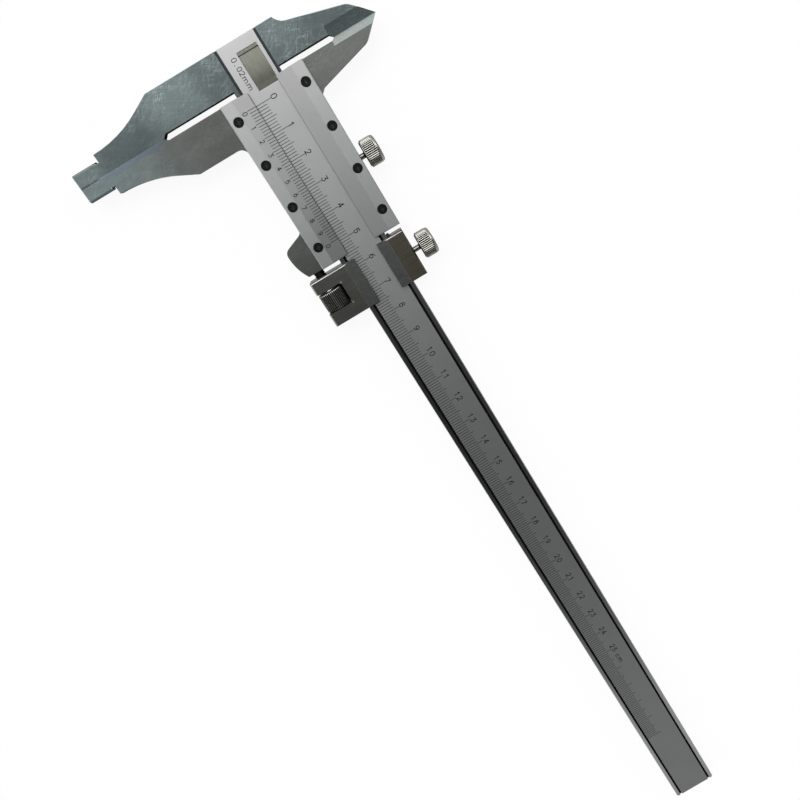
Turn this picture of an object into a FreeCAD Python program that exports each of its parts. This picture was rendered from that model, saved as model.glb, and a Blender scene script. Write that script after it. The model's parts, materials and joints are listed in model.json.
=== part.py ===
import FreeCAD, Part
import math
import os
import Sketcher
from FreeCAD import Placement, Rotation, Vector

# Vernier caliper with fine adjustment, nib jaws below and knife jaws above.
# X runs along the beam from the zero line of the main scale, Y across the beam towards the lock screws,
# Z up through the scale face. The origin lies on the back face of the slider, on the beam's centre line.

doc = FreeCAD.newDocument("Caliper")
sheet = doc.addObject("Spreadsheet::Sheet", "Sizes")

drivingSizes = [
    ("beamWidth", 18.25, "width of the beam"),
    ("beamThick", 4.0, "thickness of the beam"),
    ("beamReach", 336.3, "far end of the beam from the zero line"),
    ("beamCorner", 1.0, "corner radius at the far end"),
    ("backWeb", 3.0, "web of slider and carriage behind the beam"),
    ("runGap", 0.05, "running clearance on the beam"),
    ("fitGap", 0.02, "clearance of fixed cylindrical fits"),
    ("scaleDrop", 0.25, "scale face below the rails"),
    ("railWidth", 1.5, "outer rails of the beam"),
    ("grooveWidth", 0.9, "grooves beside the scale face"),
    ("grooveDepth", 0.8, "depth of the grooves below the rails"),
    ("edgeBreak", 0.2, "small chamfer on ground edges"),
    ("jawThick", 4.2, "thickness of the jaws"),
    ("contactPlane", 5.85, "jaw contact plane before the zero line"),
    ("jawGap", 0.03, "gap between the closed jaws"),
    ("jawWidth", 14.3, "long jaw, contact plane to outer side"),
    ("jawShoulder", 33.3, "long jaw, start of the taper"),
    ("jawTaper", 39.2, "long jaw, start of the concave curve"),
    ("jawTaperIn", 2.9, "long jaw, how far the taper comes in"),
    ("jawStep", 58.0, "long jaw, step above the nib"),
    ("jawNeck", 7.0, "long jaw, half width at the step"),
    ("jawRootRound", 3.5, "fillet between long jaw and slider"),
    ("nibEnd", 67.8, "end of the nibs"),
    ("nibRadius", 5.0, "half of the combined nib width"),
    ("nibRelief", 1.2, "length of the relief above the nib"),
    ("nibUndercut", 0.35, "depth of the relief above the nib"),
    ("fixedRelief", 1.25, "slot side of the fixed jaws behind the contact plane"),
    ("movingRelief", 0.9, "slot side of the moving jaws behind the contact plane"),
    ("longSlotEnd", 36.2, "end of the slot between the long jaws"),
    ("shortSlotEnd", 27.9, "end of the slot between the short jaws"),
    ("slotPoint", 1.3, "length of the pointed end of the slots"),
    ("slotCut", 1.3, "depth of the slot into the beam edge on the lock-screw side"),
    ("knifeTip", 43.5, "tip of the short jaws"),
    ("knifeShoulder", 36.6, "shoulder of the short jaws"),
    ("knifeShoulderWidth", 6.4, "width of one short jaw at the shoulder"),
    ("knifeShoulderRound", 5.0, "rounding of the shoulder"),
    ("knifeRoot", 17.0, "root of the straight side of the short jaws"),
    ("knifeRootWidth", 11.4, "width of one short jaw at its root"),
    ("headCorner", 13.8, "end of the straight head edge on the knife side"),
    ("headScoop", 5.0, "concave corner between the head and its knife jaw"),
    ("knifeFoot", 1.4, "foot of the moving knife jaw along the slider"),
    ("knifeLand", 1.0, "flat left on the knife edges"),
    ("fixedBevel", 4.1, "width of the front bevel on the fixed knife jaw"),
    ("movingBevel", 2.5, "width of the front bevel on the moving knife jaw"),
    ("recessStart", 16.4, "head recess, end towards the head"),
    ("recessEnd", 3.35, "head recess, end towards the scale"),
    ("recessLedge", 1.0, "ledge at the head end of the recess"),
    ("recessLow", 1.8, "head recess, side towards the vernier"),
    ("recessHigh", 5.6, "head recess, side towards the lock screws"),
    ("recessDepth", 0.7, "depth of the recess"),
    ("recessStep", 0.2, "depth of the ledge"),
    ("recessLift", 0.25, "floor of the recess at the foot of its ramp"),
    ("recessRamp", 1.8, "ramp at the scale end of the recess"),
    ("frameLength", 60.15, "length of the slider frame"),
    ("frameHalf", 15.4, "half width of the slider frame"),
    ("gibThick", 1.0, "thickness of the gibs"),
    ("gibPlay", 0.35, "room behind the gibs"),
    ("gibHeight", 3.4, "height of the gibs"),
    ("gibInset", 0.8, "gib ends inside the frame and carriage ends"),
    ("gibNose", 1.0, "carriage gib past the jaw side of the carriage"),
    ("thumbBack", 1.0, "back of the thumb rest above the back of the slider"),
    ("thumbLength", 13.95, "thumb rest, foot of the slope to the end of the frame"),
    ("thumbFoot", 2.0, "fillet at the foot of the thumb rest"),
    ("thumbSlope", 2.95, "thumb rest, length of the slope along the beam"),
    ("thumbDrop", 7.9, "thumb rest, height of the slope"),
    ("thumbTail", 5.6, "thumb rest, height at its end face"),
    ("thumbCrown", 17.0, "radius of the crowned top of the thumb rest"),
    ("thumbRound", 2.5, "rounding of the thumb rest corner"),
    ("plateThick", 2.0, "thickness of the front plates"),
    ("plateInner", 5.35, "inner edge of the front plates"),
    ("plateBevel", 11.05, "start of the slope to the inner edge"),
    ("plateLip", 0.3, "thickness of the inner edge"),
    ("plateCorner", 0.6, "corner radius of the inner edge"),
    ("screwFirst", 6.5, "first plate screw from the jaw end of the frame"),
    ("screwLast", 7.1, "last plate screw from the far end of the frame"),
    ("screwInset", 2.7, "plate screws from the side of the frame"),
    ("screwRadius", 0.8, "shank radius of the plate screws"),
    ("screwHead", 1.7, "head radius of the plate screws"),
    ("screwWall", 0.25, "metal between plate screws and lock screw"),
    ("crossWidth", 0.45, "width of the cross recess"),
    ("crossLength", 1.9, "length of the cross recess"),
    ("crossDepth", 0.5, "depth of the cross recess"),
    ("lockRadius", 1.25, "shank radius of the lock screws"),
    ("lockTip", 0.5, "length of the cone at the end of the lock screws"),
    ("lockOffset", 5.075, "slider lock screw beyond the middle of the frame"),
    ("knobStand", 1.6, "slider knob from the slider wall"),
    ("knobRadius", 4.95, "radius of the knurled knobs"),
    ("knobLength", 5.7, "length of the knurled knobs"),
    ("knobChamfer", 0.6, "edge chamfer of the knobs"),
    ("knurlDepth", 0.32, "depth of the straight knurl"),
    ("knurlPitch", 1.5, "spacing of the straight knurl"),
    ("knurlLand", 0.2, "flat left between the knurl grooves"),
    ("knurlShoulder", 0.05, "shoulders below the roots of the knurl"),
    ("carriageGap", 2.1, "carriage from the far end of the frame"),
    ("carriageLength", 17.3, "length of the carriage"),
    ("carriageNutSide", 22.2, "carriage side that carries the nut"),
    ("carriageLockSide", 14.85, "carriage side that carries the lock screw"),
    ("carriageTop", 2.0, "lips of the carriage above the rails"),
    ("lipInner", 4.6, "inner edge of the carriage lips"),
    ("lipBevel", 8.65, "start of the slope on the carriage lips"),
    ("lipEdge", 1.0, "thickness of the inner edge of the lips"),
    ("carriageChamfer", 0.5, "chamfer round the front of the carriage"),
    ("carriageLockOffset", 8.6, "carriage lock screw from the carriage start"),
    ("carriageKnobStand", 2.35, "carriage knob from the carriage wall"),
    ("nutSlotStart", 4.7, "nut slot from the carriage start"),
    ("nutRadius", 4.75, "radius of the adjusting nut"),
    ("nutLength", 7.5, "length of the adjusting nut"),
    ("nutGap", 0.15, "clearance round the adjusting nut"),
    ("nutCorner", 0.6, "inner corners of the nut slot"),
    ("rodOffset", 2.2, "axis of the adjusting screw outside the frame"),
    ("rodHeight", 4.8, "axis of the adjusting screw above the back"),
    ("rodRadius", 2.0, "radius of the adjusting screw"),
    ("rodSeat", 8.0, "adjusting screw inside the slider tail"),
    ("rodReach", 19.3, "adjusting screw beyond the slider tail"),
    ("rodGap", 0.1, "clearance of the adjusting screw in the carriage"),
    ("rodChamfer", 0.4, "chamfer at the free end of the adjusting screw"),
    ("pinRadius", 0.75, "radius of the retaining pin"),
]

for row, (alias, number, note) in enumerate(drivingSizes, 1):
    sheet.set("A%d" % row, note)
    sheet.set("B%d" % row, str(number))
    sheet.setAlias("B%d" % row, alias)
doc.recompute()


class Size:
    # A number together with the sheet formula that it comes from.
    def __init__(self, value, text):
        self.value = value
        self.text = text

    def __add__(self, other):
        return join(self, "+", other)

    def __radd__(self, other):
        return join(other, "+", self)

    def __sub__(self, other):
        return join(self, "-", other)

    def __rsub__(self, other):
        return join(other, "-", self)

    def __mul__(self, other):
        return join(self, "*", other)

    def __rmul__(self, other):
        return join(other, "*", self)

    def __truediv__(self, other):
        return join(self, "/", other)

    def __neg__(self):
        return join(0.0, "-", self)


def asSize(item):
    return item if isinstance(item, Size) else Size(float(item), repr(float(item)))


def join(left, sign, right):
    a = asSize(left)
    b = asSize(right)
    result = {
        "+": lambda: a.value + b.value,
        "-": lambda: a.value - b.value,
        "*": lambda: a.value * b.value,
        "/": lambda: a.value / b.value,
    }[sign]()
    return Size(result, "(%s %s %s)" % (a.text, sign, b.text))


def squareRoot(item):
    return Size(math.sqrt(item.value), "sqrt(%s)" % item.text)


class Named:
    pass


d = Named()
for alias, number, note in drivingSizes:
    setattr(d, alias, Size(float(sheet.get(alias)), "Sizes." + alias))

# Levels and places that several pieces share
beamHalf = d.beamWidth / 2
beamBack = d.backWeb + d.runGap
railTop = beamBack + d.beamThick
scaleTop = railTop - d.scaleDrop
axisHeight = beamBack + d.beamThick / 2
jawBack = railTop - d.jawThick
seatTop = railTop + d.runGap
channelLow = beamHalf + d.runGap
gibOuter = channelLow + d.gibThick
channelHigh = gibOuter + d.gibPlay
frameStart = d.movingRelief - d.contactPlane
frameEnd = frameStart + d.frameLength
carriageStart = frameEnd + d.carriageGap
carriageEnd = carriageStart + d.carriageLength
scaleHalf = beamHalf - d.railWidth - d.grooveWidth
headEnd = -d.contactPlane - d.jawWidth
screwCount = 4
screwStart = frameStart + d.screwFirst
screwPitch = (d.frameLength - d.screwFirst - d.screwLast) / (screwCount - 1)
screwSide = d.frameHalf - d.screwInset
lockPlace = frameStart + d.frameLength / 2 + d.lockOffset
rodSide = d.frameHalf + d.rodOffset
pinLength = d.rodHeight + d.rodRadius / 2 - d.thumbBack
closeEnough = 1e-4
# Plate screws stop short of the lock screw that crosses below them
screwTip = axisHeight + d.lockRadius + d.runGap + d.screwWall


def bind(item, prop, size):
    item.setExpression(prop, asSize(size).text)


def newBody(label):
    body = doc.addObject("PartDesign::Body", label)
    body.Label = label
    return body


def originPlane(body, role):
    return [f for f in body.Origin.OriginFeatures if f.Role == role][0]


def newSketch(body, name, role, offset=(0, 0, 0)):
    # offset is along the sketch's own x, y and normal
    sketch = body.newObject("Sketcher::SketchObject", name)
    sketch.AttachmentSupport = [(originPlane(body, role), "")]
    sketch.MapMode = "FlatFace"
    for key, part in zip("xyz", offset):
        if isinstance(part, Size):
            bind(sketch, ".AttachmentOffset.Base." + key, part)
    return sketch


def pinPoint(sketch, shape, place, x, y):
    for kind, part in (("DistanceX", x), ("DistanceY", y)):
        size = asSize(part)
        index = sketch.addConstraint(Sketcher.Constraint(kind, -1, 1, shape, place, size.value))
        bind(sketch, "Constraints[%d]" % index, size)


def arcThrough(start, end, radius):
    # A positive radius turns left on the way from start to end.
    a = Vector(asSize(start[0]).value, asSize(start[1]).value, 0)
    b = Vector(asSize(end[0]).value, asSize(end[1]).value, 0)
    size = abs(radius.value)
    half = (b - a).Length / 2
    side = Vector(a.y - b.y, b.x - a.x, 0).normalize()
    turn = 1 if radius.value > 0 else -1
    centre = (a + b) / 2 + side * (turn * math.sqrt(size * size - half * half))
    middle = centre - side * (turn * size)
    return Part.Arc(a, middle, b)


def outline(sketch, corners):
    # corners: (x, y) for a straight side to the next corner, (x, y, radius) for an arc to it
    count = len(corners)
    shapes = []
    for index, corner in enumerate(corners):
        following = corners[(index + 1) % count]
        if len(corner) == 3:
            arc = arcThrough(corner, following, asSize(corner[2]))
            start = Vector(asSize(corner[0]).value, asSize(corner[1]).value, 0)
            shape = sketch.addGeometry(arc, False)
            forward = (sketch.getPoint(shape, 1) - start).Length < 1e-6
            shapes.append((shape, 1 if forward else 2, 2 if forward else 1))
            radius = asSize(corner[2])
            index = sketch.addConstraint(Sketcher.Constraint("Radius", shape, abs(radius.value)))
            bind(sketch, "Constraints[%d]" % index, radius if radius.value > 0 else -radius)
        else:
            a = Vector(asSize(corner[0]).value, asSize(corner[1]).value, 0)
            b = Vector(asSize(following[0]).value, asSize(following[1]).value, 0)
            shape = sketch.addGeometry(Part.LineSegment(a, b), False)
            shapes.append((shape, 1, 2))
    for index, (shape, start, end) in enumerate(shapes):
        other, otherStart, otherEnd = shapes[(index + 1) % count]
        sketch.addConstraint(Sketcher.Constraint("Coincident", shape, end, other, otherStart))
        pinPoint(sketch, shape, start, corners[index][0], corners[index][1])


def rectangle(sketch, x0, y0, x1, y1):
    outline(sketch, [(x0, y0), (x1, y0), (x1, y1), (x0, y1)])


def circle(sketch, x, y, radius):
    centre = Vector(asSize(x).value, asSize(y).value, 0)
    size = asSize(radius)
    shape = sketch.addGeometry(Part.Circle(centre, Vector(0, 0, 1), size.value), False)
    pinPoint(sketch, shape, 3, x, y)
    index = sketch.addConstraint(Sketcher.Constraint("Radius", shape, size.value))
    bind(sketch, "Constraints[%d]" % index, size)


def volumeOf(body):
    doc.recompute()
    return body.Shape.Volume


def extrude(body, kind, name, sketch, length, backwards=False):
    # kind is Pad or Pocket; the volume must change the right way
    before = body.Shape.Volume if body.Shape and not body.Shape.isNull() else 0.0
    feature = body.newObject("PartDesign::" + kind, name)
    feature.Profile = sketch
    feature.Reversed = backwards
    bind(feature, "Length", length)
    after = volumeOf(body)
    grows = kind == "Pad"
    if (after > before) != grows or abs(after - before) < 1e-6:
        raise RuntimeError("%s of %s changed nothing" % (name, body.Label))
    return feature


def pad(body, name, sketch, length, backwards=False):
    return extrude(body, "Pad", name, sketch, length, backwards)


def pocket(body, name, sketch, length, backwards=False):
    return extrude(body, "Pocket", name, sketch, length, backwards)


def dress(body, kind, name, chosen, size):
    # kind is Fillet or Chamfer; chosen tells from an edge whether it is dressed
    doc.recompute()
    base = body.Tip
    names = ["Edge%d" % (i + 1) for i, edge in enumerate(base.Shape.Edges) if chosen(edge)]
    if not names:
        raise RuntimeError("%s of %s found no edge" % (name, body.Label))
    feature = body.newObject("PartDesign::" + kind, name)
    feature.Base = (base, names)
    bind(feature, "Radius" if kind == "Fillet" else "Size", size)
    doc.recompute()
    return feature


def runsAlong(edge, x, y, z):
    a = edge.Vertexes[0].Point
    b = edge.Vertexes[-1].Point
    step = b - a
    return step.Length > 1e-6 and abs(abs(step.normalize().dot(Vector(x, y, z))) - 1) < 1e-6


def near(value, size):
    return abs(value - asSize(size).value) < closeEnough


def taperRadius():
    # Radius of the arc that leaves the step parallel to the contact plane and meets the taper
    sweep = d.jawStep - d.jawTaper
    rise = d.jawWidth - d.jawTaperIn - d.jawNeck
    return (sweep * sweep + rise * rise) / (2 * rise)


def fromContact(distance, side):
    # Place at a distance from the contact plane: side is -1 for the fixed jaws, +1 for the moving ones
    return side * asSize(distance) - d.contactPlane


def addNib(body, side, inner):
    # Neck with its relief, then the nib: flat front and back, cylindrical outer face
    flank = squareRoot(d.nibRadius * d.nibRadius - d.jawThick * d.jawThick / 4)
    neck = newSketch(body, "NeckOutline", "XY_Plane", (0, 0, jawBack))
    rectangle(neck, inner, -d.jawStep - d.nibRelief, fromContact(flank - d.nibUndercut, side), -d.jawStep)
    pad(body, "Neck", neck, d.jawThick)
    nib = newSketch(body, "NibSection", "XZ_Plane", (0, 0, d.jawStep + d.nibRelief))
    edge = fromContact(flank, side)
    outline(nib, [
        (inner, jawBack),
        (edge, jawBack, d.nibRadius * side),
        (edge, jawBack + d.jawThick),
        (inner, jawBack + d.jawThick),
    ])
    pad(body, "Nib", nib, d.nibEnd - d.jawStep - d.nibRelief)


def breakFront(body, beyond):
    # Small chamfer round the front face of the jaws this far across the beam, clear of the slots
    low = -d.contactPlane.value - d.fixedRelief.value - closeEnough
    high = frameStart.value + closeEnough

    def onJaw(edge):
        ends = [v.Point for v in edge.Vertexes]
        slot = all(low < p.x < high for p in ends)
        front = all(near(p.z, railTop) and abs(p.y) > beyond - closeEnough for p in ends)
        return front and not slot

    dress(body, "Chamfer", "JawEdges", onJaw, d.edgeBreak)


def breakAlong(body, name, sides, levels):
    # Small chamfer on the long edges at these places across the beam and these levels
    def onEdge(edge):
        start = edge.Vertexes[0].Point
        along = runsAlong(edge, 1, 0, 0) and edge.Length > d.carriageLength.value - closeEnough
        return along and any(near(start.y, y) for y in sides) and any(near(start.z, z) for z in levels)
    dress(body, "Chamfer", name, onEdge, d.edgeBreak)


def bevelKnife(body, side, inner, width):
    # Front and back bevels beyond the slot that leave a narrow land on the contact edge
    start = d.shortSlotEnd - d.slotPoint
    middle = jawBack + d.jawThick / 2
    top = jawBack + d.jawThick
    sketch = newSketch(body, "KnifeBevels", "XZ_Plane", (0, 0, -start))
    outline(sketch, [
        (inner, middle + d.knifeLand / 2),
        (fromContact(width, side), top),
        (inner, top),
    ])
    outline(sketch, [
        (inner, middle - d.knifeLand / 2),
        (fromContact(d.movingBevel, side), jawBack),
        (inner, jawBack),
    ])
    pocket(body, "KnifeEdge", sketch, d.knifeTip)


def makeBeam():
    body = newBody("main_beam")
    contact = -d.contactPlane
    slot = contact - d.fixedRelief
    head = newSketch(body, "HeadOutline", "XY_Plane", (0, 0, jawBack))
    outline(head, [
        (headEnd, -d.jawShoulder),
        (fromContact(d.jawWidth - d.jawTaperIn, -1), -d.jawTaper, -taperRadius()),
        (fromContact(d.jawNeck, -1), -d.jawStep),
        (contact, -d.jawStep),
        (contact, -d.longSlotEnd),
        (slot, -d.longSlotEnd + d.slotPoint),
        (slot, d.shortSlotEnd - d.slotPoint),
        (contact, d.shortSlotEnd),
        (contact, d.knifeTip),
        (fromContact(d.knifeShoulderWidth, -1), d.knifeShoulder),
        (fromContact(d.knifeRootWidth, -1), d.knifeRoot, -d.headScoop),
        (headEnd, d.headCorner),
    ])
    pad(body, "Head", head, d.jawThick)
    dress(body, "Fillet", "KnifeShoulder", lambda e: runsAlong(e, 0, 0, 1)
          and near(e.Vertexes[0].Y, d.knifeShoulder), d.knifeShoulderRound)
    addNib(body, -1, contact)
    breakFront(body, 0.0)
    bar = newSketch(body, "BarOutline", "XY_Plane", (0, 0, beamBack))
    rectangle(bar, fromContact(d.jawWidth / 2, -1), -beamHalf, d.beamReach, beamHalf)
    pad(body, "Bar", bar, d.beamThick)
    dress(body, "Fillet", "FarCorners", lambda e: runsAlong(e, 0, 0, 1)
          and near(e.Vertexes[0].X, d.beamReach), d.beamCorner)
    breakAlong(body, "BarEdges", (-beamHalf, beamHalf), (beamBack, railTop))
    bevelKnife(body, -1, contact, d.fixedBevel)
    face = newSketch(body, "ScaleFace", "XY_Plane", (0, 0, railTop))
    rectangle(face, headEnd, -scaleHalf, d.beamReach, scaleHalf)
    pocket(body, "ScaleLevel", face, d.scaleDrop)
    grooves = newSketch(body, "Grooves", "XY_Plane", (0, 0, railTop))
    for side in (-1, 1):
        rectangle(grooves, headEnd, side * scaleHalf, d.beamReach, side * (scaleHalf + d.grooveWidth))
    pocket(body, "GrooveCut", grooves, d.grooveDepth)
    notch = newSketch(body, "SlotNotch", "XY_Plane", (0, 0, railTop))
    rectangle(notch, slot, beamHalf - d.slotCut, frameStart, beamHalf)
    pocket(body, "SlotCut", notch, d.jawThick)
    recess = newSketch(body, "RecessSection", "XZ_Plane", (0, 0, d.recessLow))
    floor = scaleTop - d.recessDepth
    outline(recess, [
        (-d.recessStart, scaleTop),
        (-d.recessStart, scaleTop - d.recessStep),
        (d.recessLedge - d.recessStart, scaleTop - d.recessStep),
        (d.recessLedge - d.recessStart, floor),
        (-d.recessEnd - d.recessRamp, floor + d.recessLift),
        (-d.recessEnd, scaleTop),
    ])
    pocket(body, "Recess", recess, d.recessLow + d.recessHigh)
    return body


def makeSliderBody():
    body = newBody("slider_body")
    inner = d.jawGap - d.contactPlane
    outer = fromContact(d.jawWidth, 1)
    long = newSketch(body, "LongJaw", "XY_Plane", (0, 0, jawBack))
    outline(long, [
        (frameStart, -channelLow),
        (frameStart, -d.longSlotEnd + d.slotPoint),
        (inner, -d.longSlotEnd),
        (inner, -d.jawStep),
        (fromContact(d.jawNeck, 1), -d.jawStep, -taperRadius()),
        (fromContact(d.jawWidth - d.jawTaperIn, 1), -d.jawTaper),
        (outer, -d.jawShoulder),
        (outer, -d.frameHalf - d.jawRootRound, -d.jawRootRound),
        (outer + d.jawRootRound, -d.frameHalf),
        (outer + d.jawRootRound, -channelLow),
    ])
    pad(body, "LongJawPad", long, d.jawThick)
    addNib(body, 1, inner)
    short = newSketch(body, "ShortJaw", "XY_Plane", (0, 0, jawBack))
    outline(short, [
        (frameStart, channelHigh),
        (fromContact(d.knifeRootWidth, 1) + d.knifeFoot, channelHigh),
        (fromContact(d.knifeRootWidth, 1) + d.knifeFoot, d.frameHalf),
        (fromContact(d.knifeRootWidth, 1), d.knifeRoot),
        (fromContact(d.knifeShoulderWidth, 1), d.knifeShoulder),
        (inner, d.knifeTip),
        (inner, d.shortSlotEnd),
        (frameStart, d.shortSlotEnd - d.slotPoint),
    ])
    pad(body, "ShortJawPad", short, d.jawThick)
    dress(body, "Fillet", "KnifeShoulder", lambda e: runsAlong(e, 0, 0, 1)
          and near(e.Vertexes[0].Y, d.knifeShoulder), d.knifeShoulderRound)
    breakFront(body, d.frameHalf.value)
    bevelKnife(body, 1, inner, d.movingBevel)
    frame = newSketch(body, "FrameOutline", "XY_Plane")
    rectangle(frame, frameStart, -d.frameHalf, frameEnd, d.frameHalf)
    pad(body, "Frame", frame, seatTop)
    thumb = newSketch(body, "ThumbRest", "XY_Plane", (0, 0, d.thumbBack))
    foot = frameEnd - d.thumbLength
    slope = squareRoot(d.thumbSlope * d.thumbSlope + d.thumbDrop * d.thumbDrop)
    # The fillet touches the frame and the slope at the same distance from their corner
    touch = d.thumbFoot * squareRoot((slope - d.thumbSlope) / (slope + d.thumbSlope))
    outline(thumb, [
        (foot - touch, -d.frameHalf),
        (foot - touch, -channelLow),
        (frameEnd, -channelLow),
        (frameEnd, -d.frameHalf - d.thumbTail, -d.thumbCrown),
        (foot + d.thumbSlope, -d.frameHalf - d.thumbDrop),
        (foot + touch * d.thumbSlope / slope, -d.frameHalf - touch * d.thumbDrop / slope, d.thumbFoot),
    ])
    pad(body, "ThumbRestPad", thumb, railTop - d.thumbBack)
    dress(body, "Fillet", "ThumbCorner", lambda e: runsAlong(e, 0, 0, 1)
          and near(e.Vertexes[0].Y, -d.frameHalf - d.thumbDrop), d.thumbRound)
    breakAlong(body, "FrameEdges", (-d.frameHalf, d.frameHalf), (0.0,))
    channel = newSketch(body, "Channel", "XY_Plane", (0, 0, seatTop))
    rectangle(channel, frameStart, -channelLow, frameEnd, channelHigh)
    pocket(body, "ChannelCut", channel, seatTop - d.backWeb)
    taps = newSketch(body, "TapHoles", "XY_Plane", (0, 0, seatTop))
    for side in (-1, 1):
        for index in range(screwCount):
            circle(taps, screwStart + index * screwPitch, side * screwSide, d.screwRadius + d.fitGap)
    pocket(body, "TapHoleCut", taps, seatTop - screwTip)
    lock = newSketch(body, "LockBore", "XZ_Plane", (0, 0, -channelHigh))
    circle(lock, lockPlace, axisHeight, d.lockRadius + d.runGap)
    pocket(body, "LockBoreCut", lock, d.frameHalf)
    rod = newSketch(body, "RodBore", "YZ_Plane", (0, 0, frameEnd))
    circle(rod, -rodSide, d.rodHeight, d.rodRadius + d.fitGap)
    pocket(body, "RodBoreCut", rod, d.rodSeat)
    # The pin goes in from the back and stops inside the far wall of its rod
    pin = newSketch(body, "PinBore", "XY_Plane", (0, 0, d.thumbBack))
    circle(pin, frameEnd - d.rodSeat / 2, -rodSide, d.pinRadius + d.fitGap)
    pocket(body, "PinBoreCut", pin, pinLength, True)
    return body


def makePlate(label, side):
    # Front plate: flat outer part, long slope to a thin inner edge, four countersunk holes
    body = newBody(label)
    section = newSketch(body, "Section", "YZ_Plane", (0, 0, frameStart))
    outer = side * d.frameHalf
    top = seatTop + d.plateThick
    corners = [
        (outer, seatTop),
        (side * d.plateInner, seatTop),
        (side * d.plateInner, seatTop + d.plateLip),
        (side * d.plateBevel, top),
        (side * (d.frameHalf - d.edgeBreak), top),
        (outer, top - d.edgeBreak),
    ]
    outline(section, corners)
    pad(body, "Plate", section, d.frameLength)
    dress(body, "Fillet", "InnerCorners", lambda e: runsAlong(e, 0, 0, 1)
          and near(e.Vertexes[0].Y, side * d.plateInner), d.plateCorner)
    cone = newSketch(body, "CountersinkSection", "XZ_Plane", (screwStart, 0, -side * screwSide))
    wide = d.screwHead + d.fitGap
    thin = d.screwRadius + d.fitGap
    outline(cone, [
        (0.0, seatTop),
        (thin, seatTop),
        (thin, top - wide + thin),
        (wide, top),
        (0.0, top),
    ])
    hole = body.newObject("PartDesign::Groove", "Countersink")
    hole.Profile = cone
    hole.ReferenceAxis = (cone, ["V_Axis"])
    hole.Angle = 360
    doc.recompute()
    row = body.newObject("PartDesign::LinearPattern", "CountersinkRow")
    row.Originals = [hole]
    row.Direction = (cone, ["H_Axis"])
    bind(row, "Length", (screwCount - 1) * screwPitch)
    row.Occurrences = screwCount
    body.Tip = row
    doc.recompute()
    return body


def place(body, x, y, z, rotation):
    body.Placement = Placement(Vector(0, 0, 0), rotation)
    bind(body, ".Placement.Base.x", x)
    bind(body, ".Placement.Base.y", y)
    bind(body, ".Placement.Base.z", z)


def revolve(body, name, corners):
    # Half section in the XZ plane turned about Z
    sketch = newSketch(body, name + "Section", "XZ_Plane")
    outline(sketch, corners)
    feature = body.newObject("PartDesign::Revolution", name)
    feature.Profile = sketch
    feature.ReferenceAxis = (sketch, ["V_Axis"])
    feature.Angle = 360
    doc.recompute()
    return feature


def knurl(body, radius, low, high):
    # V grooves along the axis between two shoulders, as many as fit the pitch
    sketch = newSketch(body, "KnurlTooth", "XY_Plane", (0, 0, high))
    outline(sketch, [
        (radius - d.knurlDepth, 0.0),
        (radius + d.knurlDepth, d.knurlLand - d.knurlPitch),
        (radius + d.knurlDepth, d.knurlPitch - d.knurlLand),
    ])
    tooth = pocket(body, "KnurlCut", sketch, high - low)
    ring = body.newObject("PartDesign::PolarPattern", "KnurlRing")
    ring.Originals = [tooth]
    ring.Axis = (sketch, ["N_Axis"])
    ring.Angle = 360
    ring.Occurrences = int(2 * math.pi * radius.value / d.knurlPitch.value)
    body.Tip = ring
    doc.recompute()


def makeLockScrew(label, x, wall, stand):
    # Coned tip against the gib, shank through the wall, knurled knob outside; modelled along +Z
    body = newBody(label)
    knobStart = wall + stand - gibOuter
    knobEnd = knobStart + d.knobLength
    knurlLow = knobStart + d.knobChamfer
    knurlHigh = knobEnd - d.knobChamfer
    shoulder = d.knobRadius - d.knurlDepth - d.knurlShoulder
    revolve(body, "Turned", [
        (0.0, 0.0),
        (d.lockRadius - d.lockTip, 0.0),
        (d.lockRadius, d.lockTip),
        (d.lockRadius, knobStart),
        (shoulder - d.knobChamfer, knobStart),
        (shoulder, knurlLow),
        (d.knobRadius, knurlLow),
        (d.knobRadius, knurlHigh),
        (shoulder, knurlHigh),
        (shoulder - d.knobChamfer, knobEnd),
        (0.0, knobEnd),
    ])
    knurl(body, d.knobRadius, knurlLow, knurlHigh)
    place(body, x, gibOuter, axisHeight, Rotation(Vector(1, 0, 0), -90))
    return body


def makeGib(label, start, end):
    # Flat spring strip between the beam edge and the wall
    body = newBody(label)
    low = axisHeight - d.gibHeight / 2
    strip = newSketch(body, "StripOutline", "XY_Plane", (0, 0, low))
    rectangle(strip, start, channelLow, end, gibOuter)
    pad(body, "Strip", strip, d.gibHeight)
    dress(body, "Chamfer", "StripEnds", lambda e: runsAlong(e, 0, 0, 1), d.edgeBreak)
    return body


def makePlateScrew(label, index, side):
    # Countersunk screw along +Z, its tip at the origin
    body = newBody(label)
    length = seatTop + d.plateThick - screwTip
    cone = d.screwHead - d.screwRadius
    revolve(body, "Turned", [
        (0.0, 0.0),
        (d.screwRadius, 0.0),
        (d.screwRadius, length - cone),
        (d.screwHead, length),
        (0.0, length),
    ])
    sketch = newSketch(body, "CrossRecess", "XY_Plane", (0, 0, length))
    a = d.crossWidth / 2
    b = d.crossLength / 2
    outline(sketch, [(-b, -a), (-a, -a), (-a, -b), (a, -b), (a, -a), (b, -a),
                     (b, a), (a, a), (a, b), (-a, b), (-a, a), (-b, a)])
    pocket(body, "CrossCut", sketch, d.crossDepth)
    place(body, screwStart + index * screwPitch, side * screwSide, screwTip, Rotation())
    return body


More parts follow.
